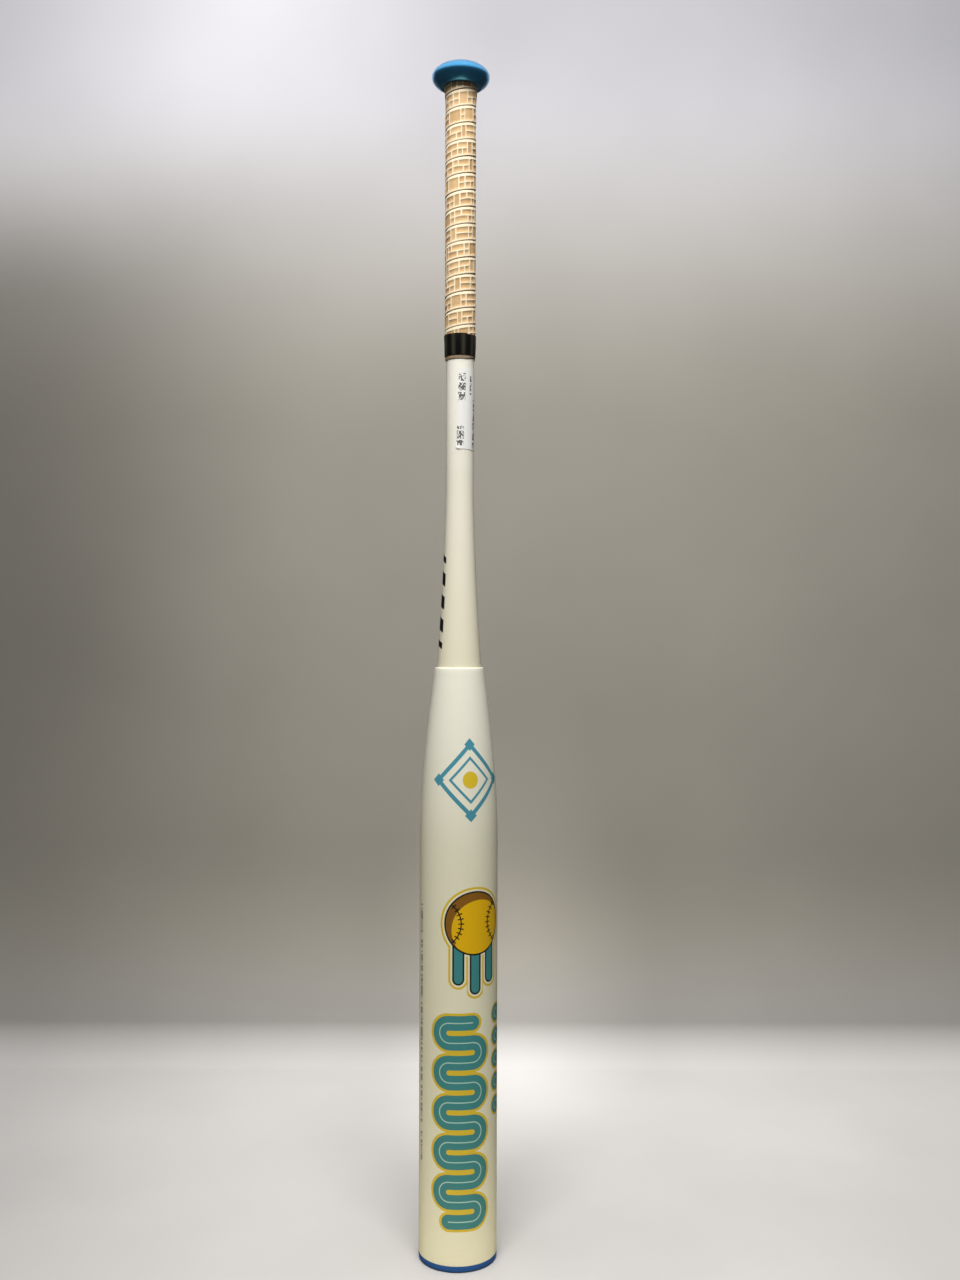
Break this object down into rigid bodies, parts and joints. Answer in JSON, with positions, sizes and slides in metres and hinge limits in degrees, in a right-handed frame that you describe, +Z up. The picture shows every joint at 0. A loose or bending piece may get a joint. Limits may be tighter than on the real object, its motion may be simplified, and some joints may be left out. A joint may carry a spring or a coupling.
{
  "type": "softball bat",
  "caption": "Two-piece softball bat: hollow barrel with end cap, flared handle joined through a sleeve, wound grip tape, finishing band and knob, standing on its cap.",
  "frame": {"origin": "centre of the end cap's flat foot, where the bat stands", "axes": "+Z up the bat's axis, from the cap to the knob; -Y is the side that faces the camera"},
  "size_m": [0.0564, 0.0564, 0.8636],
  "materials": {
    "barrel_paint": "cream-white gloss paint over composite, printed with a ribbon, a ball and a diamond in teal and yellow",
    "handle_paint": "cream-white satin-gloss paint over composite, printed with short slanted black bars",
    "cap_moulding": "blue moulded urethane, satin",
    "knob_moulding": "azure blue moulded plastic with a pearl lacquer, glossy",
    "disc_film": "blank pale film, satin",
    "grip_tape": "tan cushioned tape with an embossed parquet of small blocks and cream lines",
    "band_tape": "black vinyl tape, glossy",
    "label_paper": "white sticker with plain blocks of small random cells, faintly glossy",
    "sleeve_elastomer": "dark elastomer, matt",
    "plug_foam": "grey closed-cell foam, matt"
  },
  "bodies": {
    "root": {"barrel_shell": "barrel_paint", "end_cap": "cap_moulding", "handle_tube": "handle_paint", "joint_sleeve": "sleeve_elastomer", "tail_plug": "plug_foam", "knob_plug": "plug_foam", "knob": "knob_moulding", "knob_disc": "disc_film", "grip_tape": "grip_tape", "finishing_band": "band_tape", "size_label": "label_paper"}
  },
  "joints": []
}
